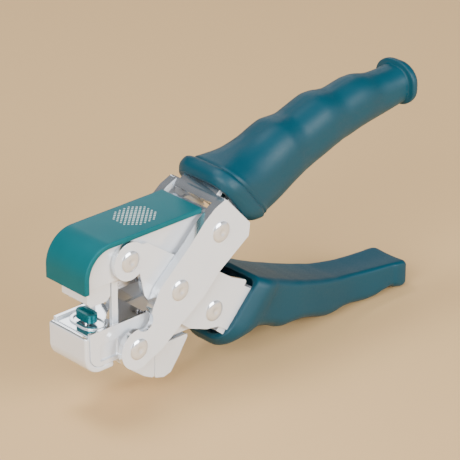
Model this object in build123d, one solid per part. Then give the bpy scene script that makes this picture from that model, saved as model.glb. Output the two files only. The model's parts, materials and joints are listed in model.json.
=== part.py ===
from build123d import *
import math
import os

# Plier-type hand stapler. Lengths are in millimetres.
# Layout frame: x = 0 is the front face of the upper jaw's cap and +X runs back to the handles,
# y = 0 is the plane of symmetry, z = 0 is the top of the cap and +Z is up.
# Every node is written with the layout frame moved so that the palm point of the upper grip
# is the origin.

# ---- driving dimensions ----------------------------------------------------
JAW_WIDTH = 20.0            # cap of the upper jaw, across
CAP_LENGTH = 50.0
CAP_THICKNESS = 2.0
CAP_BEND = 11.0             # outer radius of the cap's front bend
CAP_EDGE = 0.5              # rounding along the edges of the cap and of the housing
CAP_DROP = 15.5             # how far the cap reaches down in front
BODY_WIDTH = 16.0           # upper channel and rear of the lower jaw, across the walls
WALL = 1.4                  # wall of the upper channel and of the lower jaw's rear
FIT = 0.2                   # side gap between parts that slide past each other
PRESS = 0.02                # radial gap of a part seated in a hole of its own body

PIVOT_X = 37.0              # crossing pivot of the two levers
PIVOT_Z = -24.3
SPAN_X = 18.1               # crossing pivot to each end pin, along the jaws
SPAN_Z = 15.2               # crossing pivot to each end pin, up or down
PIN_RADIUS = 2.2
PIN_GAP = 0.05              # running clearance of a pin in its hole
DOME_RADIUS = 3.7
DOME_HEIGHT = 0.9

INNER_PLATE = 1.8           # plates of the lower lever, next to the jaws
OUTER_PLATE = 1.9           # plates of the upper lever, outside them
PLATE_GAP = 1.6             # between the plates of the two levers
LIP_GAP = 0.3               # rolled lip of the upper lever to the lower lever's plates
LIP_WIDTH = 3.6
WASHER_LENGTH = 2.1         # lower jaw to the upper lever's plates
SLIDE_TRAVEL = 3.4          # how far the rear pins slide in the jaws

TRAY_WIDTH = 18.5           # front of the lower jaw, across
TRAY_TOP = -31.0
TRAY_BOTTOM = -45.0
TRAY_LENGTH = 27.0
STRIP_THICKNESS = 2.2
STRIP_BEND = 6.5
RAIL_HEIGHT = 0.9

POST_X = 13.9               # guide posts between the jaws
POST_LENGTH = 2.5
POST_WIDTH = 1.5
POST_OUT = 6.45             # outer face of each post
POST_TOP = -12.2
POST_SEAT = 2.0             # how deep the posts sit in the tray
STOP_BOTTOM = -5.5

NOSE_WIDTH = 12.6
NOSE_FRONT = 3.6
NOSE_BACK = 13.4
NOSE_BOTTOM = -22.3
NOSE_TOP = -12.2
NOSE_CHAMFER = 1.5
MAGAZINE_WIDTH = 9.6
MAGAZINE_BACK = 32.5
MAGAZINE_BOTTOM = -20.6
MAGAZINE_TOP = -14.2
MAGAZINE_WALL = 0.5
STAPLE_CROWN = 8.4
STAPLE_LEG = 4.8
STAPLE_WIRE = 0.5
STAPLE_COUNT = 24
STAPLE_X = 5.2              # front of the staple strip
DRIVER_X = 4.4              # front face of the driver blade
DRIVER_THICKNESS = 0.5
DRIVER_TOP = -7.8
PUSHER_LENGTH = 4.0

ANVIL_X = 8.5
ANVIL_LENGTH = 4.4
ANVIL_WIDTH = 8.4
ANVIL_HEIGHT = 4.0
ANVIL_TRAVEL = 1.0
STEM_RADIUS = 1.5
STEM_LENGTH = 7.5
RING_LENGTH = 11.0
RING_WIDTH = 16.0
RING_HEIGHT = 0.5

HOUSING_TOP = -45.1
HOUSING_BOTTOM = -58.0
HOUSING_SEAM_X = 30.6
HOUSING_SEAM_BOTTOM = -56.9

MOUTH_WALL = 1.6            # wall of each grip at its mouth
TANG_HEIGHT = 8.0
TANG_WIDTH = 7.0
UPPER_WEB_START = 53.0      # distances along each lever from its end pin
UPPER_NECK = 56.0           # where the upper lever narrows to enter its grip
UPPER_ARM_END = 65.8        # end of the arms inside the grip
LOWER_ARM_END = 69.0
WEB_THICKNESS = 1.9
UPPER_WEB_SET = 5.2         # underside of the upper web, above the line through the pins
UPPER_ARM_LOW = -8.0
UPPER_ARM_HIGH = 2.5
UPPER_TANG_SET = -4.5       # tang's start, off the line through the pins
LOWER_TANG_SET = 9.5

PALM = (110.0, 0.0, 8.0)    # palm point of the upper grip, the part's origin

# ---- values that follow ----------------------------------------------------
LEVER_ANGLE = math.degrees(math.atan2(SPAN_Z, SPAN_X))
R0 = (PIVOT_X - SPAN_X, PIVOT_Z + SPAN_Z)      # upper jaw pivot, on the lower lever
R1 = (PIVOT_X + SPAN_X, PIVOT_Z + SPAN_Z)      # slide pin of the upper jaw, on the upper lever
R2 = (PIVOT_X, PIVOT_Z)                        # crossing pivot
R3 = (PIVOT_X + SPAN_X, PIVOT_Z - SPAN_Z)      # slide pin of the lower jaw, on the lower lever
R4 = (PIVOT_X - SPAN_X, PIVOT_Z - SPAN_Z)      # lower jaw pivot, on the upper lever
BODY_HALF = BODY_WIDTH / 2
INNER_SET = BODY_HALF + FIT                    # inner face of the lower lever's plates
INNER_OUT = INNER_SET + INNER_PLATE
OUTER_SET = max(INNER_OUT + PLATE_GAP, TRAY_WIDTH / 2 + WASHER_LENGTH + 0.25)
OUTER_OUT = OUTER_SET + OUTER_PLATE            # outer face of the upper lever's plates
NECK_OUT = INNER_OUT + 0.1                     # outer face of its arms inside the grip
GRIP_SPREAD = INNER_OUT - 10.0                 # added to the grips' half widths
ANVIL_LOW = TRAY_TOP + ANVIL_TRAVEL + 0.15     # underside of the anvil's button

STAPLE_TOP = MAGAZINE_BOTTOM + MAGAZINE_WALL + 0.1 + STAPLE_LEG
PUSHER_X = STAPLE_X + STAPLE_COUNT * STAPLE_WIRE + 0.1

nodes = {}


# ---- helpers ---------------------------------------------------------------
def side_plane(y):
    """Sketch plane at y whose local x and y are the layout's X and Z."""
    return Plane(origin=(0, y, 0), x_dir=(1, 0, 0), z_dir=(0, -1, 0))


def slab(sketch, y_low, y_high):
    """Side-view sketch as a plate from y_low to y_high."""
    return extrude(side_plane(y_high) * sketch, amount=y_high - y_low, dir=(0, -1, 0))


def both(sketch, inner, outer):
    """The same plate on both sides of the plane of symmetry."""
    return slab(sketch, inner, outer) + slab(sketch, -outer, -inner)


def outline(points, radius=0.0):
    """Closed polygon, its corners rounded to one radius."""
    face = Polygon(*points, align=None)
    if radius > 0:
        face = fillet(face.vertices(), radius)
    return face


def soften(part, face, radius):
    """Round the outline of both outer faces of a part."""
    edges = part.edges().filter_by_position(Axis.Y, face - 0.01, face + 0.01)
    edges += part.edges().filter_by_position(Axis.Y, -face - 0.01, -face + 0.01)
    return fillet(edges, radius)


def disc(centre, radius):
    """Filled circle in a side view."""
    return Pos(*centre) * Circle(radius)


def block(x0, x1, y0, y1, z0, z1):
    """Box between two values on each axis."""
    return Pos((x0 + x1) / 2, (y0 + y1) / 2, (z0 + z1) / 2) * Box(x1 - x0, y1 - y0, z1 - z0)


def cross_pin(centre, radius, half):
    """Round bar across the part, from -half to half."""
    return slab(disc(centre, radius), -half, half)


def domed_rivet(centre, face):
    """Rivet across the part with a domed head on each outer face."""
    body = cross_pin(centre, PIN_RADIUS, face)
    for side in (-1, 1):
        body += slab(disc(centre, DOME_RADIUS), *sorted((side * face, side * (face + 0.3))))
        height = DOME_HEIGHT - 0.3
        sphere_radius = (DOME_RADIUS ** 2 + height ** 2) / (2 * height)
        middle = side * (face + DOME_HEIGHT - sphere_radius)
        ball = Pos(centre[0], middle, centre[1]) * Sphere(sphere_radius)
        keep = sorted((side * (face + 0.3), side * (face + DOME_HEIGHT + 1)))
        body += ball & slab(disc(centre, DOME_RADIUS), *keep)
    return body


def along(angle, start, distance, offset=0.0):
    """Point a distance along a direction from start, and offset to its left."""
    c, s = math.cos(math.radians(angle)), math.sin(math.radians(angle))
    return (start[0] + distance * c - offset * s, start[1] + distance * s + offset * c)


def bar(start, angle, length, low, high):
    """Side-view rectangle from start along angle, between two offsets."""
    return outline([
        along(angle, start, 0, low), along(angle, start, length, low),
        along(angle, start, length, high), along(angle, start, 0, high)])


def spring_z(x, z0, z1, radius, wire, turns):
    """Compression spring standing along Z."""
    pitch = (z1 - z0 - wire) / turns
    path = Pos(x, 0, z0 + wire / 2) * Helix(pitch=pitch, height=z1 - z0 - wire, radius=radius)
    return sweep(Plane(origin=path @ 0, z_dir=path % 0) * Circle(wire / 2), path=path)


def save(name, shape):
    """Keep one node, moved so that the palm point is the origin."""
    solids = list(shape.solids())
    whole = Compound(children=solids) if len(solids) > 1 else solids[0]
    nodes[name] = whole.moved(Location((-PALM[0], -PALM[1], -PALM[2])))


# ---- upper lever: outer plates, web and tang -------------------------------
def upper_plate_outline():
    """Side view of the outer plates: head, waist, back and the eye of the lower jaw pivot."""
    body = outline([
        (15.0, -34.4), (23.2, -34.4), (25.2, -27.0), (28.4, -21.0), (41.4, -9.9), (48.0, -3.3),
        (52.6, 0.1), (57.4, 2.0), (68.2, -10.0), (67.6, -14.6), (54.1, -23.6), (47.4, -30.4),
        (38.1, -36.4), (28.8, -43.2), (20.9, -46.3), (15.0, -45.4)], 1.2)
    return body + disc(R4, 7.2) - disc((21.9, -30.6), 3.4)


def upper_frame():
    """Two outer plates with a rolled lip, joined by a web, and the tang for the grip."""
    plate = upper_plate_outline()
    edge = [(24.0, -26.5), (27.6, -20.2), (40.8, -8.9), (47.4, -2.3), (52.2, 1.2), (57.6, 3.2)]
    inner = [(x + 0.64 * LIP_WIDTH, z - 0.77 * LIP_WIDTH) for x, z in edge]
    lip = outline(edge + inner[::-1]) & plate
    frame = both(plate, OUTER_SET, OUTER_OUT) + both(lip, INNER_OUT + LIP_GAP, OUTER_SET + 0.5)

    def piece(begin, end, low, high):
        return bar(along(LEVER_ANGLE, R4, begin), LEVER_ANGLE, end - begin, low, high)

    web_high = UPPER_WEB_SET + WEB_THICKNESS
    wide, narrow = OUTER_OUT - 0.6, NECK_OUT - 1.2
    frame += slab(piece(UPPER_WEB_START, UPPER_NECK + 0.2, UPPER_WEB_SET, web_high), -wide, wide)
    frame += slab(piece(UPPER_NECK, UPPER_NECK + 4.0, UPPER_WEB_SET, web_high), -narrow, narrow)
    shoulder = piece(UPPER_NECK - 2.0, UPPER_NECK, UPPER_ARM_LOW - 1.0, UPPER_WEB_SET + 0.8)
    frame += both(shoulder, NECK_OUT - OUTER_PLATE, wide)
    arm = piece(UPPER_NECK - 2.0, UPPER_ARM_END, UPPER_ARM_LOW, UPPER_ARM_HIGH)
    frame += both(arm, NECK_OUT - OUTER_PLATE, NECK_OUT)
    bulkhead = piece(UPPER_ARM_END - 2.5, UPPER_ARM_END, UPPER_ARM_LOW, UPPER_ARM_HIGH)
    frame += slab(bulkhead, -NECK_OUT, NECK_OUT)
    frame += slab(tang_outline(1), -TANG_WIDTH / 2, TANG_WIDTH / 2)
    for centre in (R1, R2, R4):
        frame -= cross_pin(centre, PIN_RADIUS + PRESS, OUTER_OUT + 1)
    return frame


# ---- lower lever: inner plates, web and tang -------------------------------
def lower_plate_outline():
    """Side view of the inner plates: eye of the upper jaw pivot, waist and back."""
    body = outline([
        (16.0, -4.6), (26.2, -4.6), (35.2, -11.2), (47.4, -19.0), (56.3, -24.9), (63.4, -30.0),
        (70.3, -33.2), (60.8, -45.0), (58.6, -46.4), (52.0, -45.4), (44.0, -42.3), (28.2, -28.2),
        (24.6, -23.2), (22.8, -14.4), (16.0, -14.4)], 1.0)
    return body + disc(R0, 6.7) - disc((20.8, -18.8), 2.9)


def lower_frame():
    """Two inner plates joined by a web, and the tang for the grip."""
    angle = -LEVER_ANGLE
    frame = both(lower_plate_outline(), INNER_SET, INNER_OUT)
    reach = [(52.0, -4.0), (62.0, -3.0), (LOWER_ARM_END, 5.0), (LOWER_ARM_END, 14.0), (52.0, 12.0)]
    frame += both(outline([along(angle, R0, *place) for place in reach]), INNER_SET, INNER_OUT)
    web = bar(along(angle, R0, 54.0), angle, 6.0, -5.4, -5.4 + WEB_THICKNESS - 0.1)
    frame += slab(web, -INNER_OUT + 0.6, INNER_OUT - 0.6)
    bulkhead = bar(along(angle, R0, LOWER_ARM_END - 2.0), angle, 2.0, 5.0, 14.0)
    frame += slab(bulkhead, -INNER_OUT, INNER_OUT)
    frame += slab(tang_outline(-1), -TANG_WIDTH / 2, TANG_WIDTH / 2)
    for centre, gap in ((R0, PRESS), (R3, PRESS), (R2, PIN_GAP)):
        frame -= cross_pin(centre, PIN_RADIUS + gap, INNER_OUT + 1)
    return frame


# ---- grips -----------------------------------------------------------------
# Each row is one cross-section: x and z of its top point, x and z of its bottom point,
# half width and corner radius.
UPPER_SECTIONS = [
    (56.8, 5.8, 70.5, -12.5, 12.2, 6.5), (57.6, 8.2, 74.2, -13.6, 13.4, 7.5),
    (59.8, 9.8, 77.8, -13.9, 13.6, 8.0), (62.6, 9.5, 80.0, -13.3, 12.8, 8.0),
    (65.8, 9.4, 81.8, -12.7, 12.2, 8.5), (72.4, 10.4, 86.1, -12.0, 11.6, 9.5),
    (79.6, 12.1, 90.6, -10.1, 10.9, 9.0), (86.2, 14.7, 95.5, -7.5, 10.6, 9.0),
    (93.4, 16.0, 100.7, -5.3, 9.9, 8.4), (96.8, 16.1, 103.5, -4.4, 9.5, 8.0),
    (106.1, 19.1, 111.9, -1.5, 9.4, 8.0), (112.6, 19.9, 117.5, 0.2, 8.9, 7.5),
    (119.3, 19.4, 123.0, 1.3, 8.1, 6.8), (128.8, 20.9, 131.3, 3.1, 7.9, 6.6),
    (137.4, 19.5, 138.7, 4.0, 6.9, 5.8), (143.6, 19.3, 144.3, 5.0, 6.9, 5.8),
    (151.0, 19.9, 151.4, 6.3, 7.2, 6.0)]
UPPER_FLANGE = [
    (149.2, 20.6, 149.6, 5.9, 7.6, 6.4), (149.9, 21.2, 150.3, 5.3, 8.2, 6.8),
    (151.7, 21.2, 152.0, 5.4, 8.2, 6.8), (152.8, 20.3, 153.0, 6.4, 7.4, 6.0),
    (153.4, 18.0, 153.5, 8.6, 5.2, 4.2)]
LOWER_SECTIONS = [
    (75.0, -33.5, 57.5, -52.5, 11.8, 5.0), (79.1, -35.3, 60.3, -56.6, 13.2, 6.0),
    (82.0, -36.5, 66.6, -56.2, 13.0, 6.0), (84.5, -37.6, 73.5, -53.8, 12.2, 5.0),
    (88.0, -39.1, 80.5, -55.2, 11.8, 4.5), (96.0, -42.2, 92.0, -58.2, 11.3, 4.0),
    (104.0, -45.0, 102.5, -60.2, 10.3, 4.0), (112.0, -47.4, 111.3, -62.9, 9.2, 3.6),
    (120.0, -49.4, 119.6, -62.7, 8.1, 3.2), (128.0, -50.8, 128.0, -63.6, 7.7, 3.0),
    (134.0, -51.6, 134.0, -64.1, 7.7, 3.0), (143.5, -52.6, 143.3, -62.6, 8.0, 2.8),
    (145.5, -52.8, 145.2, -63.4, 8.4, 3.0), (148.6, -53.2, 148.2, -64.2, 8.4, 3.0),
    (150.4, -54.8, 150.2, -63.0, 7.0, 2.6)]


def section(row, shrink=0.0, shift=0.0):
    """Rounded rectangle of a row, drawn in on all sides and moved towards the mouth."""
    top_x, top_z, low_x, low_z, half_width, corner = row
    height = math.hypot(top_x - low_x, top_z - low_z)
    up = ((top_x - low_x) / height, 0, (top_z - low_z) / height)
    ahead = (up[2], 0, -up[0])
    origin = ((top_x + low_x) / 2 - shift * ahead[0], 0, (top_z + low_z) / 2 - shift * ahead[2])
    plane = Plane(origin=origin, x_dir=up, z_dir=ahead)
    width = 2 * (half_width + GRIP_SPREAD - shrink)
    return plane * RectangleRounded(height - 2 * shrink, width, max(corner - shrink, 1.0))


def tang_outline(side):
    """Bar that follows the grip's middle line, side 1 above and -1 below."""
    if side > 0:
        start, rows = along(LEVER_ANGLE, R4, UPPER_ARM_END, UPPER_TANG_SET), UPPER_SECTIONS[6:13]
    else:
        start, rows = along(-LEVER_ANGLE, R0, LOWER_ARM_END, LOWER_TANG_SET), LOWER_SECTIONS[4:10]
    middle = [((row[0] + row[2]) / 2, (row[1] + row[3]) / 2) for row in rows]
    line = [start] + middle
    upper = [(x, z + TANG_HEIGHT / 2) for x, z in line]
    lower = [(x, z - TANG_HEIGHT / 2) for x, z in line]
    return outline(lower + upper[::-1])


def grip(rows, side):
    """Moulded grip with an open mouth and a hole along its middle for the tang."""
    body = loft([section(row) for row in rows])
    inner = MOUTH_WALL + 0.4
    mouth = loft([
        section(rows[0], MOUTH_WALL, 1.0), section(rows[0], MOUTH_WALL),
        section(rows[2], inner), section(rows[4], inner)])
    half = (TANG_WIDTH + FIT) / 2
    return body - mouth - slab(offset(tang_outline(side), FIT / 2), -half, half)


# ---- upper jaw -------------------------------------------------------------
def round_front(sketch, radius):
    """Round the upper front corner of a side view."""
    return fillet(sketch.vertices().sort_by(Axis.X)[:2].sort_by(Axis.Y)[-1:], radius)


def bent_strip(length, drop, thickness, bend, top):
    """Side view of a strip with a flat top and a rounded front, its front face at x = 0."""
    below = top - drop - 30
    whole = outline([(0, top), (length, top), (length, below), (0, below)])
    inner = round_front(Pos(thickness, -thickness) * whole, bend - thickness)
    keep = outline([(-1, top + 1), (length, top + 1), (length, top - drop), (-1, top - drop)])
    return (round_front(whole, bend) - inner) & keep


def top_cap():
    """Coloured cap over the top and the front of the upper jaw."""
    strip = bent_strip(CAP_LENGTH, CAP_DROP, CAP_THICKNESS, CAP_BEND, 0)
    return soften(slab(strip, -JAW_WIDTH / 2, JAW_WIDTH / 2), JAW_WIDTH / 2, CAP_EDGE)


def pin_slot(centre):
    """Slot that runs back from a slide pin's place."""
    middle = (centre[0] + SLIDE_TRAVEL / 2, centre[1])
    slot = SlotCenterToCenter(SLIDE_TRAVEL + 0.6, 2 * (PIN_RADIUS + PIN_GAP))
    return slab(Pos(*middle) * slot, -TRAY_WIDTH, TRAY_WIDTH)


def upper_channel():
    """Sheet channel under the cap, with the pivot holes and the slots for the slide pin."""
    top = -CAP_THICKNESS
    bend = CAP_BEND - CAP_THICKNESS
    length = R1[0] - 3.0
    rear = R1[0] + SLIDE_TRAVEL + PIN_RADIUS + 2.6
    skin = slab(bent_strip(length, CAP_DROP - 2, WALL, bend, top), -BODY_HALF, BODY_HALF)
    side = round_front(outline([(0, top), (length, top), (length, -15.2), (0, -15.2)]), bend)
    tail = outline([(R1[0] - 6, -3.8), (rear, -3.8), (rear, -14.6), (R1[0] - 6, -14.6)])
    walls = both(Pos(CAP_THICKNESS, 0) * side + tail, BODY_HALF - WALL, BODY_HALF)
    channel = Pos(CAP_THICKNESS, 0, 0) * skin + walls
    channel -= cross_pin(R0, PIN_RADIUS + PIN_GAP, BODY_HALF + 1)
    return channel - pin_slot(R1)


def post_stop():
    """Block under the top web that the guide posts reach when the jaws are shut."""
    inside = BODY_HALF - WALL
    top = -CAP_THICKNESS - WALL
    return block(POST_X - 0.3, POST_X + POST_LENGTH, -inside, inside, STOP_BOTTOM, top)


def driver():
    """Blade that pushes the first staple out, with the head that carries it."""
    half = STAPLE_CROWN / 2
    arm_half = half - 0.2
    low, end = DRIVER_TOP - 1.2, POST_X - 1.0
    blade = block(DRIVER_X, DRIVER_X + DRIVER_THICKNESS, -half, half, STAPLE_TOP + 0.3, DRIVER_TOP)
    arm = block(DRIVER_X, end, -arm_half, arm_half, low, DRIVER_TOP)
    head = block(CAP_BEND + 0.3, end, -arm_half, arm_half, low, -CAP_THICKNESS - WALL)
    return blade + arm + head


# ---- magazine --------------------------------------------------------------
def nose():
    """Front of the magazine: it guides the driver and meets the work."""
    half = NOSE_WIDTH / 2
    side = outline([
        (NOSE_FRONT, NOSE_TOP), (NOSE_BACK, NOSE_TOP),
        (NOSE_BACK, NOSE_BOTTOM), (NOSE_FRONT, NOSE_BOTTOM)])
    lower = side.vertices().group_by(Axis.Y)[0]
    shell = slab(chamfer(lower, NOSE_CHAMFER), -half, half)
    room = STAPLE_CROWN / 2 + 0.15
    floor = MAGAZINE_BOTTOM + MAGAZINE_WALL
    shell -= block(STAPLE_X - 0.3, NOSE_BACK + 1, -room, room, floor, NOSE_TOP + 1)
    shell -= block(DRIVER_X - 0.1, STAPLE_X, -room, room, NOSE_BOTTOM - 1, NOSE_TOP + 1)
    return shell


def magazine_rail():
    """Channel that carries the staples back from the nose."""
    half = MAGAZINE_WIDTH / 2
    outer = block(NOSE_BACK, MAGAZINE_BACK, -half, half, MAGAZINE_BOTTOM, MAGAZINE_TOP)
    room = half - MAGAZINE_WALL
    floor = MAGAZINE_BOTTOM + MAGAZINE_WALL
    return outer - block(NOSE_BACK - 1, MAGAZINE_BACK - 1.2, -room, room, floor, MAGAZINE_TOP + 1)


def staple_strip():
    """Strip of staples, open below, with a fine groove between one crown and the next."""
    length = STAPLE_COUNT * STAPLE_WIRE
    half = STAPLE_CROWN / 2
    body = block(STAPLE_X, STAPLE_X + length, -half, half, STAPLE_TOP - STAPLE_LEG, STAPLE_TOP)
    inside = half - STAPLE_WIRE
    body -= block(STAPLE_X - 1, STAPLE_X + length + 1, -inside, inside,
                  STAPLE_TOP - STAPLE_LEG - 1, STAPLE_TOP - STAPLE_WIRE)
    for index in range(1, STAPLE_COUNT):
        x = STAPLE_X + index * STAPLE_WIRE
        body -= block(x - 0.03, x + 0.03, -half - 1, half + 1, STAPLE_TOP - 0.12, STAPLE_TOP + 1)
    return body


def staple_core():
    """Rail under the crowns that keeps the legs apart."""
    half = STAPLE_CROWN / 2 - STAPLE_WIRE - 0.1
    top = STAPLE_TOP - STAPLE_WIRE - 0.05
    low = MAGAZINE_BOTTOM + MAGAZINE_WALL
    return block(STAPLE_X + 0.1, MAGAZINE_BACK - 1.2, -half, half, low, top)


def pusher():
    """Saddle on the core rail that pushes the staples forward."""
    half = STAPLE_CROWN / 2
    room = half - STAPLE_WIRE
    end, low = PUSHER_X + PUSHER_LENGTH, STAPLE_TOP - STAPLE_LEG
    body = block(PUSHER_X, end, -half, half, low, STAPLE_TOP + 0.8)
    return body - block(PUSHER_X - 1, end + 1, -room, room, low - 1, STAPLE_TOP - STAPLE_WIRE)


# ---- lower jaw -------------------------------------------------------------
def lower_strip():
    """Bent strip that closes the front and the underside of the tray."""
    turned = bent_strip(12.0, TRAY_TOP - TRAY_BOTTOM, STRIP_THICKNESS, STRIP_BEND, 0)
    side = Pos(0, TRAY_BOTTOM) * mirror(turned, Plane.XZ)
    return slab(side, -TRAY_WIDTH / 2, TRAY_WIDTH / 2)


def rear_wall_outline():
    """Side view of the lower jaw's rear walls, which hold the slots for the slide pin."""
    front = TRAY_LENGTH - 2
    rear = R3[0] + SLIDE_TRAVEL + PIN_RADIUS + 2.6
    return outline([
        (front, -34.2), (rear - 8, -34.2), (rear, -35.4), (rear, -43.6), (front, -43.6)])


def tray():
    """Hollow front of the lower jaw with its side rails, and the walls behind it."""
    half = TRAY_WIDTH / 2
    front = STRIP_THICKNESS
    floor = TRAY_BOTTOM + STRIP_THICKNESS
    profile = outline([
        (front, TRAY_TOP), (TRAY_LENGTH, TRAY_TOP), (TRAY_LENGTH, floor), (front, floor)])
    corner = profile.vertices().sort_by(Axis.X)[:2].sort_by(Axis.Y)[:1]
    body = slab(fillet(corner, STRIP_BEND - STRIP_THICKNESS), -half, half)
    room = half - 1.6
    body -= block(front + 2.2, TRAY_LENGTH - 1.5, -room, room, floor + 1.4, TRAY_TOP - 1.6)
    for side in (-1, 1):
        face = sorted((side * (half - 0.7), side * (half + 1)))
        body -= block(6.2, 13.6, *face, -41.2, -35.2)
        edge = sorted((side * (half - 1.3), side * half))
        body += block(front, TRAY_LENGTH, *edge, TRAY_TOP, TRAY_TOP + RAIL_HEIGHT)
    body -= Pos(ANVIL_X, 0, TRAY_TOP) * Cylinder(STEM_RADIUS + PIN_GAP, 8)
    body += both(rear_wall_outline(), BODY_HALF - WALL, BODY_HALF)
    body += block(TRAY_LENGTH - 2.5, TRAY_LENGTH, -BODY_HALF, BODY_HALF, floor, TRAY_TOP)
    body -= cross_pin(R4, PIN_RADIUS + PIN_GAP, TRAY_WIDTH)
    body -= pin_slot(R3)
    for side in (-1, 1):
        seat = sorted((side * (POST_OUT - POST_WIDTH - PRESS), side * (POST_OUT + PRESS)))
        start, end = POST_X - PRESS, POST_X + POST_LENGTH + PRESS
        body -= block(start, end, *seat, TRAY_TOP - POST_SEAT, TRAY_TOP + 2)
    return body


def pivot_spacer():
    """Tube on the crossing rivet that keeps the lower lever's plates apart."""
    tube = disc(R2, PIN_RADIUS + 0.8) - disc(R2, PIN_RADIUS + PIN_GAP)
    return slab(tube, -INNER_SET + 0.05, INNER_SET - 0.05)


def washers(centre, radius, inner):
    """A washer each side, from near the inner face y to the upper lever's plate."""
    return both(disc(centre, radius) - disc(centre, PIN_RADIUS + PRESS), inner, OUTER_SET - PRESS)


def return_spring():
    """Torsion spring round the crossing spacer; one leg rests on the lower slide rivet."""
    wire = 1.0
    mean = PIN_RADIUS + 0.9 + wire / 2
    width = 9.0
    helix = Helix(pitch=width / 6, height=width, radius=mean)
    coil = sweep(Plane(origin=helix @ 0, z_dir=helix % 0) * Circle(wire / 2), path=helix)
    coil = Pos(R2[0], width / 2, R2[1]) * Rot(90, 0, 0) * coil
    start = along(-LEVER_ANGLE, R2, 0.0, mean)
    leg = slab(bar(start, -LEVER_ANGLE, 19.0, -wire / 2, wire / 2), -wire / 2, wire / 2)
    return coil + Pos(0, width / 2, 0) * leg


def guide_posts():
    """Two flat posts that stand in the tray and guide the magazine."""
    posts = []
    for side in (-1, 1):
        y = sorted((side * (POST_OUT - POST_WIDTH), side * POST_OUT))
        posts.append(block(POST_X, POST_X + POST_LENGTH, *y, TRAY_TOP - POST_SEAT, POST_TOP))
    return posts[0] + posts[1]


def anvil_ring():
    """Flat oval ring round the anvil."""
    outer = SlotOverall(RING_WIDTH - 2.0, RING_LENGTH - 2.0, 90)
    inner = SlotOverall(RING_WIDTH - 4.4, RING_LENGTH - 4.4, 90)
    return Pos(ANVIL_X + 0.6, 0, TRAY_TOP) * extrude(outer - inner, RING_HEIGHT)


def anvil_button():
    """Rounded block with the groove that turns the staple's legs."""
    top = TRAY_TOP + ANVIL_HEIGHT
    side = SlotOverall(ANVIL_WIDTH, ANVIL_LENGTH, 90)
    body = Pos(ANVIL_X, 0, ANVIL_LOW) * extrude(side, top - ANVIL_LOW)
    return body - block(ANVIL_X - 0.9, ANVIL_X + 0.9, -3.0, 3.0, top - 0.7, top + 1)


def anvil_stem():
    """Round stem under the button, with the collar that keeps it in the tray."""
    stem = Pos(ANVIL_X, 0, ANVIL_LOW - STEM_LENGTH / 2) * Cylinder(STEM_RADIUS, STEM_LENGTH)
    collar = Pos(ANVIL_X, 0, ANVIL_LOW - STEM_LENGTH + 0.4) * Cylinder(STEM_RADIUS + 1.2, 0.8)
    return stem + collar


def anvil_spring():
    """Spring in the tray that holds the button up."""
    floor = TRAY_BOTTOM + STRIP_THICKNESS + 1.4
    top = ANVIL_LOW - STEM_LENGTH
    return spring_z(ANVIL_X, floor + 0.05, top - 0.05, 1.9, 0.5, 3)


# ---- housing under the lower jaw -------------------------------------------
def housing(points):
    """Hollow closed shell from its side view."""
    profile = outline(points, 1.0)
    shell = soften(slab(profile, -BODY_HALF, BODY_HALF), BODY_HALF, CAP_EDGE)
    return shell - slab(offset(profile, -WALL), -BODY_HALF + WALL, BODY_HALF - WALL)


def housing_front():
    """Front half of the housing."""
    seam = HOUSING_SEAM_X - 0.1
    return housing([
        (15.0, HOUSING_TOP), (seam, HOUSING_TOP), (seam, HOUSING_SEAM_BOTTOM),
        (26.0, -54.6), (20.6, -50.4)])


def rear_cover():
    """Rear half of the housing."""
    return housing([
        (HOUSING_SEAM_X, HOUSING_TOP), (46.0, HOUSING_TOP), (41.6, -52.0),
        (37.6, HOUSING_BOTTOM + 0.8), (34.4, HOUSING_BOTTOM),
        (HOUSING_SEAM_X, HOUSING_SEAM_BOTTOM)])


# ---- build -----------------------------------------------------------------
os.makedirs("parts", exist_ok=True)
save("upper_frame", upper_frame())
save("lower_frame", lower_frame())
flange = loft([section(row) for row in UPPER_FLANGE])
save("upper_grip", grip(UPPER_SECTIONS, 1) + flange)
save("lower_grip", grip(LOWER_SECTIONS, -1))
save("top_cap", top_cap())
save("upper_channel", upper_channel())
save("post_stop", post_stop())
save("driver_blade", driver())
save("nose", nose())
save("magazine_rail", magazine_rail())
save("staple_strip", staple_strip())
save("staple_core", staple_core())
save("pusher", pusher())
save("lower_strip", lower_strip())
save("tray", tray())
save("guide_posts", guide_posts())
save("pivot_spacer", pivot_spacer())
save("slide_washers", washers(R1, 3.6, BODY_HALF + 0.25))
save("jaw_washers", washers(R4, 4.2, TRAY_WIDTH / 2 + 0.25))
save("return_spring", return_spring())
save("anvil_ring", anvil_ring())
save("anvil_button", anvil_button())
save("anvil_stem", anvil_stem())
save("anvil_spring", anvil_spring())
save("housing_front", housing_front())
save("rear_cover", rear_cover())
save("crossing_rivet", domed_rivet(R2, OUTER_OUT))
save("upper_slide_rivet", domed_rivet(R1, OUTER_OUT))
save("lower_jaw_rivet", domed_rivet(R4, OUTER_OUT))
save("upper_jaw_rivet", domed_rivet(R0, INNER_OUT))
save("lower_slide_rivet", domed_rivet(R3, INNER_OUT))
for name, shape in nodes.items():
    export_step(shape, f"parts/{name}.step")
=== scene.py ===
"""Looks of a plier stapler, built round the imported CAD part. Lengths below are in millimetres."""

import json
import math

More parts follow.
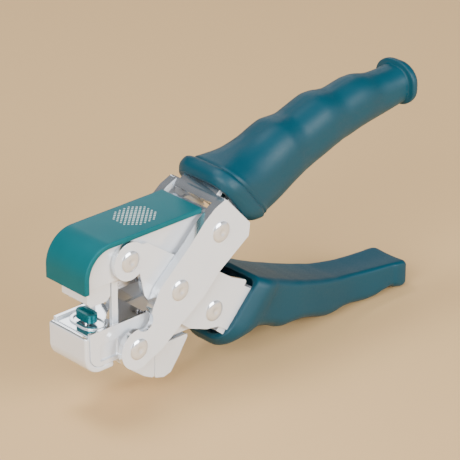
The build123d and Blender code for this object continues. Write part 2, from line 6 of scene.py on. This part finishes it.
import bmesh
import bpy
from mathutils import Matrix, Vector


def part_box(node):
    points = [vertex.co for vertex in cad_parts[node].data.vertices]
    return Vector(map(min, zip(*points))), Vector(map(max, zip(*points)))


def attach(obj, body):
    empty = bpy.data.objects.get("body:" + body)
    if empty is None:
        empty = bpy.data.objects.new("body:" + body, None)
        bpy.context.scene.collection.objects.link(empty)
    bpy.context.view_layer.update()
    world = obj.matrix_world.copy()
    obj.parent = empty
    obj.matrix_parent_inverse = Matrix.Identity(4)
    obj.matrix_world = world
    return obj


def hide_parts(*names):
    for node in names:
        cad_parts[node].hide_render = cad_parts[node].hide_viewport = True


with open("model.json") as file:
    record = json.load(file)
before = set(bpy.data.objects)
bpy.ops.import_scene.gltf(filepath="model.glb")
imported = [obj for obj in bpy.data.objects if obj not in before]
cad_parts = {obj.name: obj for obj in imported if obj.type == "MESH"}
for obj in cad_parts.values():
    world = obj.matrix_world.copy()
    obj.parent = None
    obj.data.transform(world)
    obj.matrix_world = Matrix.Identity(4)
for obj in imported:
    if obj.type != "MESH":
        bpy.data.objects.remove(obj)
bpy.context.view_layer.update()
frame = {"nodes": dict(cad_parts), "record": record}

MM = 0.001
PALM = Vector((110.0, 0.0, 8.0))      # the part's origin in the layout used below


def place(x, y, z):
    """Layout point in millimetres (x from the cap's front, z from its top) as a scene point."""
    return (Vector((x, y, z)) - PALM) * MM


# ---- camera ----------------------------------------------------------------
AIM = place(39.9, -34.3, 3.9)
AZIMUTH, ELEVATION = math.radians(-42.75), math.radians(25.75)
DISTANCE = 0.8605                     # metres
LENS, SENSOR = 212.5, 36
back = Vector((
    math.sin(AZIMUTH) * math.cos(ELEVATION),
    -math.cos(AZIMUTH) * math.cos(ELEVATION),
    math.sin(ELEVATION)))
camera = bpy.data.objects.new("camera", bpy.data.cameras.new("camera"))
bpy.context.scene.collection.objects.link(camera)
camera.location = AIM + back * DISTANCE
camera.rotation_euler = (math.pi / 2 - ELEVATION, 0, AZIMUTH)
camera.data.lens = LENS
camera.data.sensor_width = SENSOR
camera.data.clip_end = 20
bpy.context.scene.camera = camera


# ---- floor and light -------------------------------------------------------
def nodes_of(name):
    """A new material with its node tree and its shader."""
    material = bpy.data.materials.new(name)
    material.use_nodes = True
    tree = material.node_tree
    return material, tree, tree.nodes["Principled BSDF"]


def add_area(name, at, size, power):
    """Rectangular lamp aimed at the part, its place and size in metres."""
    light = bpy.data.objects.new(name, bpy.data.lights.new(name, "AREA"))
    light.data.shape = "RECTANGLE"
    light.data.size, light.data.size_y = size
    light.data.energy = power
    light.location = at
    light.rotation_euler = (AIM - Vector(at)).to_track_quat("-Z", "Y").to_euler()
    bpy.context.scene.collection.objects.link(light)


FLOOR_HALF = 4                        # metres
floor_mesh = bpy.data.meshes.new("floor")
floor_level = min(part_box(name)[0].z for name in frame["nodes"])
corners = [(-FLOOR_HALF, -FLOOR_HALF), (FLOOR_HALF, -FLOOR_HALF),
           (FLOOR_HALF, FLOOR_HALF), (-FLOOR_HALF, FLOOR_HALF)]
floor_mesh.from_pydata([(x, y, floor_level) for x, y in corners], [], [(0, 1, 2, 3)])
floor = bpy.data.objects.new("floor", floor_mesh)
bpy.context.scene.collection.objects.link(floor)
floor_material, _, floor_shader = nodes_of("floor")
floor_shader.inputs["Base Color"].default_value = (0.72, 0.47, 0.22, 1)
floor_shader.inputs["Roughness"].default_value = 0.9
floor_mesh.materials.append(floor_material)

# Height in the surroundings, from straight down at 0 to straight up at 1, and how bright it is.
SKY = ((0.0, 0.5), (0.5, 0.85), (0.56, 0.8), (0.64, 0.16), (0.8, 0.12), (1.0, 0.35))


def studio_world():
    """Grey surroundings: a bright horizon under a dark band, and a mid grey overhead."""
    world = bpy.data.worlds.new("studio")
    world.use_nodes = True
    tree = world.node_tree
    where = tree.nodes.new("ShaderNodeTexCoord")
    split = tree.nodes.new("ShaderNodeSeparateXYZ")
    shade = tree.nodes.new("ShaderNodeValToRGB")
    stops = shade.color_ramp.elements
    for position, _ in SKY[1:-1]:
        stops.new(position)
    for stop, (_, level) in zip(stops, SKY):
        stop.color = (level, level, level * 1.02, 1)
    spread = tree.nodes.new("ShaderNodeMapRange")
    spread.inputs["From Min"].default_value = -1
    tree.links.new(where.outputs["Generated"], split.inputs["Vector"])
    tree.links.new(split.outputs["Z"], spread.inputs["Value"])
    tree.links.new(spread.outputs["Result"], shade.inputs["Fac"])
    tree.links.new(shade.outputs["Color"], tree.nodes["Background"].inputs["Color"])
    tree.nodes["Background"].inputs["Strength"].default_value = 1.0
    bpy.context.scene.world = world


studio_world()
add_area("key", (-1.1, -0.5, 0.6), (0.8, 0.7), 20)
add_area("side", (0.2, -1.3, 0.5), (0.9, 0.6), 24)
add_area("top", (-0.3, 0.3, 1.2), (0.5, 0.5), 9)
add_area("rim", (0.6, 0.9, 0.45), (0.5, 0.3), 1.5)


# ---- materials -------------------------------------------------------------
def noise(tree, scale, detail=3.0):
    """Noise fixed to the object."""
    where = tree.nodes.new("ShaderNodeTexCoord")
    node = tree.nodes.new("ShaderNodeTexNoise")
    node.inputs["Scale"].default_value = scale
    node.inputs["Detail"].default_value = detail
    tree.links.new(where.outputs["Object"], node.inputs["Vector"])
    return node


def ramp(tree, source, low, high):
    """The middle of a noise's range, stretched from low to high."""
    node = tree.nodes.new("ShaderNodeMapRange")
    node.inputs["From Min"].default_value = 0.3
    node.inputs["From Max"].default_value = 0.7
    node.inputs["To Min"].default_value = low
    node.inputs["To Max"].default_value = high
    tree.links.new(source, node.inputs["Value"])
    return node.outputs["Result"]


def tint(tree, source, dark, light):
    """Two colours mixed by a value."""
    node = tree.nodes.new("ShaderNodeMix")
    node.data_type = "RGBA"
    node.inputs["A"].default_value = (*dark, 1)
    node.inputs["B"].default_value = (*light, 1)
    tree.links.new(source, node.inputs["Factor"])
    return node.outputs["Result"]


def bump(tree, shader, source, strength, distance):
    """Fine relief on the shader's normal."""
    node = tree.nodes.new("ShaderNodeBump")
    node.inputs["Strength"].default_value = strength
    node.inputs["Distance"].default_value = distance
    tree.links.new(source, node.inputs["Height"])
    tree.links.new(node.outputs["Normal"], shader.inputs["Normal"])


def facing(tree, axis, low, high):
    """low where the surface faces away from an axis of the object, high where it faces it."""
    where = tree.nodes.new("ShaderNodeTexCoord")
    split = tree.nodes.new("ShaderNodeSeparateXYZ")
    size = tree.nodes.new("ShaderNodeMath")
    size.operation = "ABSOLUTE"
    spread = tree.nodes.new("ShaderNodeMapRange")
    spread.inputs["From Min"].default_value = 0.5
    spread.inputs["From Max"].default_value = 0.95
    spread.inputs["To Min"].default_value = low
    spread.inputs["To Max"].default_value = high
    tree.links.new(where.outputs["Normal"], split.inputs["Vector"])
    tree.links.new(split.outputs[axis], size.inputs[0])
    tree.links.new(size.outputs["Value"], spread.inputs["Value"])
    return spread.outputs["Result"]


def metal(name, dark, light, rough, painted_side_shade=None, grain=900, relief=0.05):
    """Worn metal. An optional axis with two metallic values, away from it and along it, paints
    shade and reflection by which way each face turns.
    """
    material, tree, shader = nodes_of(name)
    shader.inputs["Metallic"].default_value = 1.0
    # painted shade and reflection: metallic follows which way a face turns, so one side reads satin
    # white and the other a dark mirror
    if painted_side_shade:
        tree.links.new(facing(tree, *painted_side_shade), shader.inputs["Metallic"])
    cloud = noise(tree, 60)
    fine = noise(tree, grain, 6)
    tree.links.new(tint(tree, cloud.outputs["Fac"], dark, light), shader.inputs["Base Color"])
    tree.links.new(ramp(tree, cloud.outputs["Fac"], *rough), shader.inputs["Roughness"])
    bump(tree, shader, fine.outputs["Fac"], relief, 0.0002)
    return material


def coat(name, dark, light, rough, metallic):
    """Satin coating or paint."""
    material, tree, shader = nodes_of(name)
    shader.inputs["Metallic"].default_value = metallic
    shader.inputs["Specular IOR Level"].default_value = 0.15
    cloud = noise(tree, 90)
    fine = noise(tree, 2500, 4)
    tree.links.new(tint(tree, cloud.outputs["Fac"], dark, light), shader.inputs["Base Color"])
    tree.links.new(ramp(tree, fine.outputs["Fac"], *rough), shader.inputs["Roughness"])
    bump(tree, shader, fine.outputs["Fac"], 0.06, 0.0002)
    return material


def rubber(name, dark, light):
    """Matt moulded plastic with a fine grain."""
    material, tree, shader = nodes_of(name)
    cloud = noise(tree, 40)
    grain = noise(tree, 1800, 5)
    tree.links.new(tint(tree, cloud.outputs["Fac"], dark, light), shader.inputs["Base Color"])
    shader.inputs["Specular IOR Level"].default_value = 0.35
    tree.links.new(ramp(tree, grain.outputs["Fac"], 0.42, 0.55), shader.inputs["Roughness"])
    bump(tree, shader, grain.outputs["Fac"], 0.12, 0.0003)
    return material


CAP_COLOURS = (0.003, 0.105, 0.125), (0.005, 0.13, 0.155)
GRIP_COLOURS = (0.0, 0.045, 0.072), (0.001, 0.058, 0.09)
MATERIALS = {
    # painted shade: the plates' flat sides turn satin white, and their edges and rolled lip a dark
    # mirror
    "frame_chrome": metal(
        "frame_chrome", (0.80, 0.85, 0.91), (0.86, 0.90, 0.95), (0.12, 0.20), ("Y", 0.95, 0.15)),
    # painted reflection: faces turned up are mirror, and the sides are satin white
    "jaw_chrome": metal(
        "jaw_chrome", (0.80, 0.84, 0.89), (0.88, 0.91, 0.95), (0.05, 0.10), ("Z", 0.2, 0.97),
        grain=300, relief=0.2),
    # painted shade: where a head slopes away from the plate it turns more mirror-dark than on top
    "rivet_chrome": metal(
        "rivet_chrome", (0.82, 0.86, 0.91), (0.90, 0.93, 0.97), (0.07, 0.12), ("Y", 1.0, 0.6)),
    "inner_steel": metal("inner_steel", (0.45, 0.46, 0.48), (0.58, 0.58, 0.6), (0.22, 0.35)),
    "spring_steel": metal("spring_steel", (0.5, 0.5, 0.52), (0.62, 0.62, 0.64), (0.15, 0.25)),
    "staple_wire": metal("staple_wire", (0.6, 0.6, 0.62), (0.75, 0.75, 0.77), (0.18, 0.3)),
    "cap_teal": coat("cap_teal", *CAP_COLOURS, (0.38, 0.46), 0.1),
    "anvil_teal": coat("anvil_teal", *CAP_COLOURS, (0.25, 0.33), 0.35),
    "grip_upper": rubber("grip_upper", *GRIP_COLOURS),
    "grip_lower": rubber("grip_lower", *GRIP_COLOURS),
}
slots = {entry["node"]: entry["material_slot"] for entry in frame["record"]["subparts"]}
for name, node in frame["nodes"].items():
    node.data.materials.clear()
    node.data.materials.append(MATERIALS[slots[name]])

# ---- grips -----------------------------------------------------------------
# One row is one cross-section, in millimetres: x and z of its top point, x and z of its bottom
# point, half its width, and how round it is above and below (1 is an ellipse, 0 a rectangle).
UPPER_GRIP = [
    (56.8, 5.8, 70.5, -12.5, 12.2, 0.6, 0.7), (57.6, 8.2, 74.2, -13.6, 13.4, 0.6, 0.7),
    (59.8, 9.8, 77.8, -13.9, 13.6, 0.6, 0.7), (61.4, 9.5, 79.0, -13.7, 13.3, 0.6, 0.7),
    (62.4, 8.8, 79.7, -13.1, 12.5, 0.65, 0.7), (63.6, 9.2, 80.5, -13.1, 12.6, 0.65, 0.7),
    (65.8, 9.4, 81.8, -12.7, 12.2, 0.7, 0.75), (72.4, 10.4, 86.1, -12.0, 11.6, 0.85, 0.85),
    (79.6, 12.1, 90.6, -10.1, 10.9, 0.85, 0.85), (86.2, 14.7, 95.5, -7.5, 10.6, 0.85, 0.85),
    (90.0, 15.9, 98.4, -6.2, 10.4, 0.85, 0.85), (93.4, 16.0, 100.7, -5.3, 9.9, 0.85, 0.85),
    (96.8, 16.1, 103.5, -4.4, 9.5, 0.85, 0.85), (99.9, 17.0, 106.3, -3.4, 9.4, 0.85, 0.85),
    (106.1, 19.1, 111.9, -1.5, 9.4, 0.85, 0.85), (109.3, 19.9, 114.6, -0.5, 9.3, 0.85, 0.85),
    (112.6, 19.9, 117.5, 0.2, 8.9, 0.85, 0.85), (116.0, 19.4, 120.2, 0.9, 8.4, 0.85, 0.85),
    (119.3, 19.4, 123.0, 1.3, 8.1, 0.85, 0.85), (125.6, 20.6, 128.5, 2.6, 8.0, 0.85, 0.85),
    (128.8, 20.9, 131.3, 3.1, 7.9, 0.85, 0.85), (132.0, 20.7, 134.1, 3.5, 7.6, 0.85, 0.85),
    (137.4, 19.5, 138.7, 4.0, 6.9, 0.85, 0.85), (143.6, 19.3, 144.3, 5.0, 6.9, 0.85, 0.85),
    (148.0, 19.6, 148.5, 5.9, 7.1, 0.85, 0.85), (148.9, 19.8, 149.4, 5.9, 7.3, 0.85, 0.85),
    (149.4, 21.0, 149.8, 5.5, 9.0, 0.85, 0.85), (150.0, 21.3, 150.3, 5.4, 9.3, 0.85, 0.85),
    (151.2, 21.2, 151.5, 5.6, 9.2, 0.85, 0.85), (152.2, 20.5, 152.4, 6.5, 8.4, 0.85, 0.85),
    (152.8, 18.4, 152.9, 8.4, 6.0, 0.85, 0.85)]
LOWER_GRIP = [
    (75.0, -33.5, 57.5, -52.5, 11.8, 0.25, 0.6), (79.1, -35.3, 60.3, -56.6, 13.2, 0.25, 0.8),
    (82.0, -36.5, 66.6, -56.2, 13.0, 0.25, 0.8), (84.5, -37.6, 73.5, -53.8, 12.2, 0.25, 0.6),
    (88.0, -39.1, 80.5, -55.2, 11.8, 0.25, 0.55), (92.0, -40.8, 86.0, -57.8, 11.6, 0.25, 0.55),
    (96.0, -42.2, 92.0, -58.2, 11.3, 0.25, 0.55), (100.0, -43.7, 97.5, -58.8, 10.8, 0.25, 0.55),
    (104.0, -45.0, 102.5, -60.2, 10.3, 0.25, 0.55), (108.0, -46.3, 107.0, -61.8, 9.8, 0.25, 0.55),
    (112.0, -47.4, 111.3, -62.9, 9.2, 0.25, 0.55), (116.0, -48.6, 115.5, -63.0, 8.6, 0.25, 0.55),
    (120.0, -49.4, 119.6, -62.7, 8.1, 0.25, 0.55), (124.0, -50.1, 123.8, -62.9, 7.8, 0.25, 0.55),
    (128.0, -50.8, 128.0, -63.6, 7.7, 0.25, 0.55), (132.0, -51.3, 132.0, -64.1, 7.7, 0.25, 0.55),
    (136.0, -51.8, 136.0, -64.0, 7.8, 0.25, 0.55), (140.0, -52.2, 140.0, -63.2, 7.9, 0.25, 0.55),
    (143.5, -52.6, 143.3, -62.6, 8.0, 0.25, 0.55), (145.5, -52.8, 145.2, -63.4, 8.4, 0.25, 0.55),
    (148.6, -53.2, 148.2, -64.2, 8.4, 0.25, 0.5), (150.0, -53.8, 149.8, -63.8, 8.0, 0.3, 0.5),
    (150.8, -55.6, 150.6, -62.2, 6.6, 0.4, 0.5)]


def between(rows, steps):
    """The rows with smooth ones added, so many to a span, on a Catmull-Rom curve."""
    out = []
    last = len(rows) - 1
    for i in range(last):
        near = (rows[max(i - 1, 0)], rows[i], rows[i + 1], rows[min(i + 2, last)])
        for k in range(steps):
            t = k / steps
            out.append([
                0.5 * (2 * b + (c - a) * t + (2 * a - 5 * b + 4 * c - d) * t * t
                       + (3 * b - a - 3 * c + d) * t ** 3)
                for a, b, c, d in zip(*near)])
    return out + [list(rows[last])]


def quarter(across, height, radius_across, radius_height, start, steps=8):
    """A quarter of an ellipse, counter-clockwise from the angle start."""
    out = []
    for k in range(steps + 1):
        angle = math.radians(start + 90 * k / steps)
        out.append((
            across + radius_across * math.cos(angle),
            height + radius_height * math.sin(angle)))
    return out


def ring(row, shrink=0.0, dish=0.0):
    """The cross-section of a row as scene points. dish hollows its top face."""
    top_x, top_z, low_x, low_z, half_width, round_top, round_low = row
    middle = Vector(((top_x + low_x) / 2, 0, (top_z + low_z) / 2))
    up = Vector((top_x, 0, top_z)) - middle
    half = up.length - shrink
    up.normalize()
    wide = half_width - shrink
    arcs = []
    corners = ((1, 1, round_top, 0), (-1, 1, round_top, 90),
               (-1, -1, round_low, 180), (1, -1, round_low, 270))
    for side, vertical, rounding, start in corners:
        arcs.append(quarter(
            side * wide * (1 - rounding), vertical * half * (1 - rounding),
            wide * rounding, half * rounding, start))
    points = []
    for arc, following in zip(arcs, arcs[1:] + arcs[:1]):
        points += arc
        for k in (0.25, 0.5, 0.75):
            points.append(tuple(a + (b - a) * k for a, b in zip(arc[-1], following[0])))
    out = []
    for across, height in points:
        if height > 0:
            height -= dish * max(0.0, 1 - (across / wide) ** 2) * (height / half) ** 4
        at = middle + up * height
        out.append(place(at.x, across, at.z))
    return out


def skin(name, rings, material):
    """A smooth closed mesh through rings of points."""
    mesh = bmesh.new()
    loops = [[mesh.verts.new(point) for point in points] for points in rings]
    for one, two in zip(loops, loops[1:]):
        for k in range(len(one)):
            mesh.faces.new((one[k - 1], one[k], two[k], two[k - 1]))
    for loop in (loops[0], loops[-1]):
        centre = mesh.verts.new(sum((v.co for v in loop), Vector()) / len(loop))
        for k in range(len(loop)):
            mesh.faces.new((loop[k - 1], loop[k], centre))
    bmesh.ops.recalc_face_normals(mesh, faces=mesh.faces)
    for face in mesh.faces:
        face.smooth = True
    data = bpy.data.meshes.new(name)
    mesh.to_mesh(data)
    mesh.free()
    data.materials.append(material)
    piece = bpy.data.objects.new(name, data)
    bpy.context.scene.collection.objects.link(piece)
    return piece


MOUTH = ((14, 3.2), (8, 2.4), (2, 1.9), (0, 1.7))     # smooth row and the wall there
LIP_WALLS = (1.2, 0.5)                # how far the rings that round the rim are drawn in
DISH_START, DISH_RISE = 0.2, 4        # where the top face begins to hollow, and how fast


def moulded_grip(name, rows, body, node, dish):
    """Outer skin of a grip with its hollow mouth, in place of the CAD grip."""
    smooth = between(rows, 5)
    mouth = [ring(smooth[index], wall) for index, wall in MOUTH]
    outside = []
    for index, row in enumerate(smooth):
        share = min(1.0, max(0.0, index / len(smooth) - DISH_START) * DISH_RISE)
        outside.append(ring(row, dish=dish * share))
    lip = [ring(smooth[0], wall) for wall in LIP_WALLS]
    piece = skin(name, mouth + lip + outside, MATERIALS[slots[node]])
    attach(piece, body)
    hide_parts(node)


moulded_grip("upper_grip_skin", UPPER_GRIP, "upper_lever", "upper_grip", 0.0)
moulded_grip("lower_grip_skin", LOWER_GRIP, "lower_lever", "lower_grip", 0.5)


# ---- edges of the metal parts ----------------------------------------------
BODIES = frame["record"]["behaviour"]["bodies"]
BODY_OF = {node: body for body, nodes in BODIES.items() for node in nodes}
MERGE = 0.03                          # points closer than this are one
FLAT = math.radians(1.5)              # faces that meet at less are one face
SHARP = math.radians(35)              # edges that turn more are rounded


def softened(node, width):
    """A copy of a CAD node with its sharp edges rounded, which stands for it."""
    mesh = bmesh.new()
    mesh.from_mesh(frame["nodes"][node].data)
    bmesh.ops.remove_doubles(mesh, verts=mesh.verts, dist=MERGE * MM)
    bmesh.ops.dissolve_limit(mesh, angle_limit=FLAT, verts=mesh.verts, edges=mesh.edges)
    data = bpy.data.meshes.new(node + "_soft")
    mesh.to_mesh(data)
    mesh.free()
    data.materials.clear()
    data.materials.append(MATERIALS[slots[node]])
    piece = bpy.data.objects.new(node + "_soft", data)
    bpy.context.scene.collection.objects.link(piece)
    bevel = piece.modifiers.new("edges", "BEVEL")
    bevel.width = width * MM
    bevel.segments = 3
    bevel.limit_method = "ANGLE"
    bevel.angle_limit = SHARP
    bevel.use_clamp_overlap = True
    bevel.harden_normals = True
    for polygon in data.polygons:
        polygon.use_smooth = True
    data.set_sharp_from_angle(angle=SHARP)
    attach(piece, BODY_OF[node])
    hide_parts(node)


SOFT_EDGES = {
    "upper_frame": 0.7, "lower_frame": 0.6, "upper_channel": 0.3, "nose": 0.5, "tray": 0.25,
    "lower_strip": 0.8, "housing_front": 0.3, "rear_cover": 0.3, "anvil_ring": 0.15,
    "anvil_button": 0.12, "guide_posts": 0.15, "top_cap": 0.15}
for name, width in SOFT_EDGES.items():
    softened(name, width)


# ---- rivets ----------------------------------------------------------------
DOME_RADIUS, SHANK_RADIUS = 3.7, 2.2
DIMPLE_RADIUS, DIMPLE_DEPTH = 1.5, 0.38
HEAD_HEIGHT = 0.95
RIM_HEIGHT = 0.3
DIMPLE_STEPS, DOME_STEPS, TURN_STEPS = 6, 12, 48


def head_profile(half):
    """Radius and y down one head of a rivet, from its dimple to its shank."""
    base = half - HEAD_HEIGHT
    profile = [(0.05, half - DIMPLE_DEPTH)]
    for k in range(1, DIMPLE_STEPS + 1):
        depth = DIMPLE_DEPTH * math.cos(math.pi / 2 * k / DIMPLE_STEPS) ** 1.5
        profile.append((DIMPLE_RADIUS * k / DIMPLE_STEPS, half - depth))
    for k in range(1, DOME_STEPS + 1):
        radius = DIMPLE_RADIUS + (DOME_RADIUS - DIMPLE_RADIUS) * k / DOME_STEPS
        profile.append((radius, half - (HEAD_HEIGHT - RIM_HEIGHT) * (k / DOME_STEPS) ** 2.6))
    return profile + [
        (DOME_RADIUS, base + 0.05), (DOME_RADIUS - 0.05, base),
        (SHANK_RADIUS, base), (SHANK_RADIUS, base - 0.1)]


def rivet(node):
    """Domed rivet with a punched dimple in the middle of each head."""
    low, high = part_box(node)
    centre = (low + high) / 2
    profile = head_profile((high.y - low.y) / 2 / MM)
    profile += [(radius, -y) for radius, y in reversed(profile)]
    turn = [math.tau * k / TURN_STEPS for k in range(TURN_STEPS)]
    rings = [
        [centre + Vector((radius * math.cos(t), y, radius * math.sin(t))) * MM for t in turn]
        for radius, y in profile]
    piece = skin(node + "_domed", rings, MATERIALS[slots[node]])
    piece.data.set_sharp_from_angle(angle=math.radians(50))
    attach(piece, BODY_OF[node])
    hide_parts(node)


RIVETS = ("crossing_rivet", "upper_slide_rivet", "lower_jaw_rivet", "upper_jaw_rivet",
          "lower_slide_rivet")
for name in RIVETS:
    rivet(name)


# ---- pale printed pattern on the cap ----------------------------------------
PRINT_X, PRINT_Y = 30.0, 0.5          # middle of the pattern
PRINT_REACH, PRINT_CORNER = 7, 11     # steps out from the middle, straight and in sum
PRINT_STEP_X, PRINT_STEP_Y = 0.95, 0.88
MARK_SIZE, MARK_FADE = 0.62, 0.03     # half diagonal in the middle, and less for each step out
PRINT_LOW, PRINT_TOP = -0.05, 0.03


def printed_marks():
    """Lattice of small pale diamonds, a thin layer on top of the cap."""
    mesh = bmesh.new()
    steps = range(-PRINT_REACH, PRINT_REACH + 1)
    for i in steps:
        for j in steps:
            if (i + j) % 2 or abs(i) + abs(j) > PRINT_CORNER:
                continue
            size = MARK_SIZE - MARK_FADE * max(abs(i), abs(j))
            x, y = PRINT_X + i * PRINT_STEP_X, PRINT_Y + j * PRINT_STEP_Y
            corners = [(x + size, y), (x, y + size), (x - size, y), (x, y - size)]
            low = [mesh.verts.new(place(*corner, PRINT_LOW)) for corner in corners]
            top = [mesh.verts.new(place(*corner, PRINT_TOP)) for corner in corners]
            mesh.faces.new(top)
            mesh.faces.new(low[::-1])
            for k in range(4):
                mesh.faces.new((low[k - 1], low[k], top[k], top[k - 1]))
    data = bpy.data.meshes.new("cap_print")
    mesh.to_mesh(data)
    mesh.free()
    pale = (0.50, 0.62, 0.60), (0.60, 0.70, 0.68)
    data.materials.append(coat("print_pale", *pale, (0.4, 0.5), 0.0))
    piece = bpy.data.objects.new("cap_print", data)
    bpy.context.scene.collection.objects.link(piece)
    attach(piece, "upper_jaw")


printed_marks()
